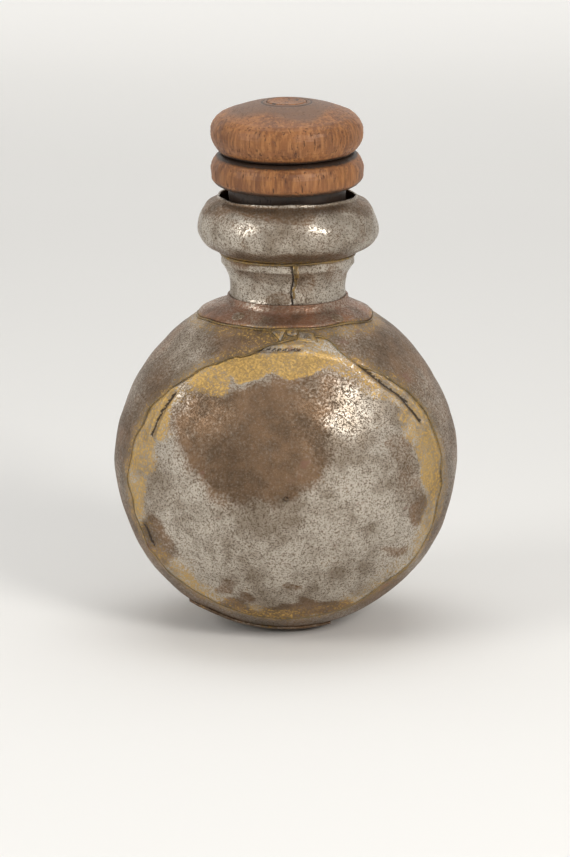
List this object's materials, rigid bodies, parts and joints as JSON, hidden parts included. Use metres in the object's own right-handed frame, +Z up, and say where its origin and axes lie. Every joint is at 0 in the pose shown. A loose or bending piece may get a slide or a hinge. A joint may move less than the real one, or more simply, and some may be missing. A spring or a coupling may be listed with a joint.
{
  "type": "pilgrim flask",
  "caption": "Round, slightly flattened sheet-iron flask with brass-brazed seams, a swollen hollow mouth and a loose turned wooden stopper.",
  "frame": {"origin": "centre of the outline's underside, on the surface that the flask stands on", "axes": "+Z up through the neck; the flask faces -Y and +X is to the right seen from the front"},
  "size_m": [0.13, 0.111, 0.2018],
  "materials": {
    "dark_iron": "old hammered sheet iron, brown and rubbed",
    "pale_iron": "old hammered sheet iron, grey, pitted and rubbed bright",
    "brass": "old brazing brass, dull gold",
    "wood": "turned hardwood, worn and lightly waxed"
  },
  "bodies": {
    "flask": {"side_band": "dark_iron", "front_dome": "pale_iron", "back_dome": "pale_iron", "front_braze": "brass", "back_braze": "brass", "cramp_tabs": "dark_iron", "tab_braze": "brass", "base_patch": "dark_iron", "shoulder_collar": "dark_iron", "collar_rivets": "dark_iron", "collar_braze": "brass", "neck_tube": "pale_iron", "neck_seam_braze": "brass", "mouth_bulb": "pale_iron", "mouth_braze": "brass"},
    "stopper": {"stopper_knob": "wood", "stopper_peg": "wood"}
  },
  "joints": [
    {"name": "stopper_lift", "type": "slide", "parent": "flask", "child": "stopper", "axis": [-0.0061, -0.0558, 0.9984], "range_m": [0, 0.05]}
  ]
}
